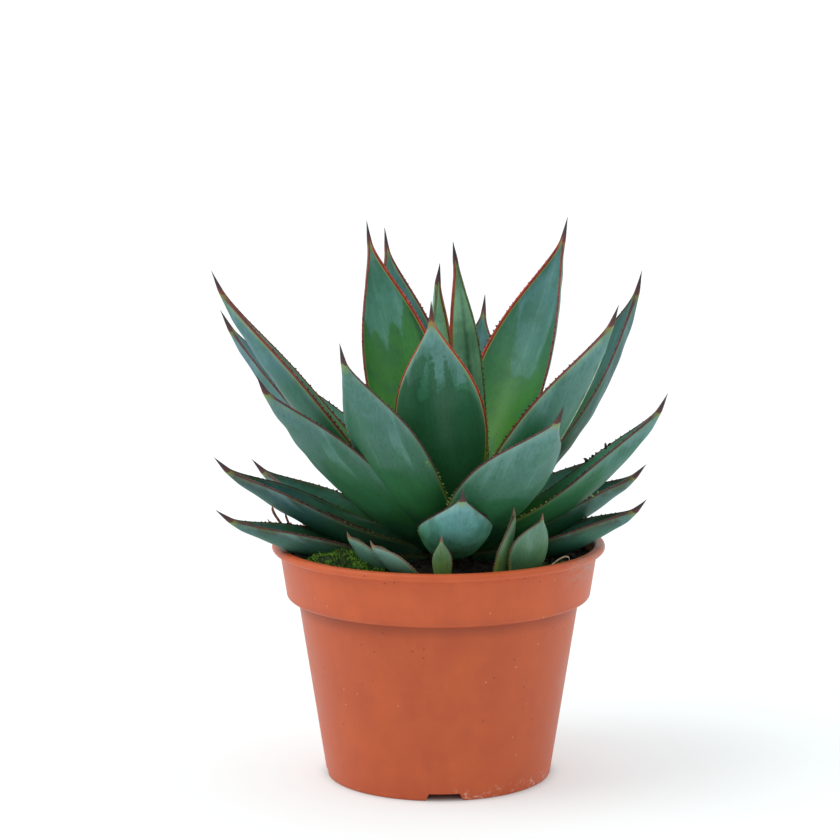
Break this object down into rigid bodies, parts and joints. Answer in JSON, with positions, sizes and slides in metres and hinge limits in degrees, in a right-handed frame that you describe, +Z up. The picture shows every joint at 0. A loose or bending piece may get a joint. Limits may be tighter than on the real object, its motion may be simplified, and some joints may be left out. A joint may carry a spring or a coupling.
{
  "type": "potted agave",
  "caption": "Rosette agave with pointed gutter-shaped leaves rising round a short stem, rooted in peat in a round collared nursery pot that stands on its base",
  "frame": {"origin": "On the floor under the middle of the pot", "axes": "+Z up the plant, -Y to the front, +X to the right as seen from the front"},
  "size_m": [0.2316, 0.1872, 0.2793],
  "materials": {
    "terracotta_plastic": "moulded, satin, a few soil specks",
    "agave_leaf": "waxy bloom over green flesh, dark red margins, dark spines",
    "stem_base": "pale fibrous leaf bases",
    "peat_soil": "crumbly, damp",
    "moss": "soft, bright green"
  },
  "bodies": {
    "root": {"pot": "terracotta_plastic", "leaf_inner_right": "agave_leaf", "leaf_bud": "agave_leaf", "leaf_centre_front": "agave_leaf", "leaf_back_left_tall": "agave_leaf", "leaf_back_right_tall": "agave_leaf", "leaf_back_left_behind": "agave_leaf", "leaf_right_front_tall": "agave_leaf", "leaf_right_tall": "agave_leaf", "leaf_back_middle": "agave_leaf", "leaf_left_tall": "agave_leaf", "leaf_front_left_broad": "agave_leaf", "leaf_back_lower_left": "agave_leaf", "leaf_left_behind": "agave_leaf", "leaf_front_left_outer": "agave_leaf", "leaf_back_lower_right": "agave_leaf", "leaf_front_right_broad": "agave_leaf", "leaf_left_inner_back": "agave_leaf", "leaf_right_middle": "agave_leaf", "leaf_front_short": "agave_leaf", "leaf_back_outer_middle": "agave_leaf", "leaf_left_lower": "agave_leaf", "leaf_right_lower": "agave_leaf", "leaf_back_outer_right": "agave_leaf", "leaf_back_outer_left": "agave_leaf", "leaf_left_lower_back": "agave_leaf", "leaf_right_lowest": "agave_leaf", "leaf_left_lowest": "agave_leaf", "leaf_back_lowest_right": "agave_leaf", "leaf_back_lowest_left": "agave_leaf", "young_leaf_left": "agave_leaf", "young_leaf_front_left": "agave_leaf", "young_leaf_front": "agave_leaf", "young_leaf_front_right": "agave_leaf", "young_leaf_right": "agave_leaf", "stem": "stem_base", "soil": "peat_soil", "moss_left": "moss", "moss_right": "moss"}
  },
  "joints": []
}
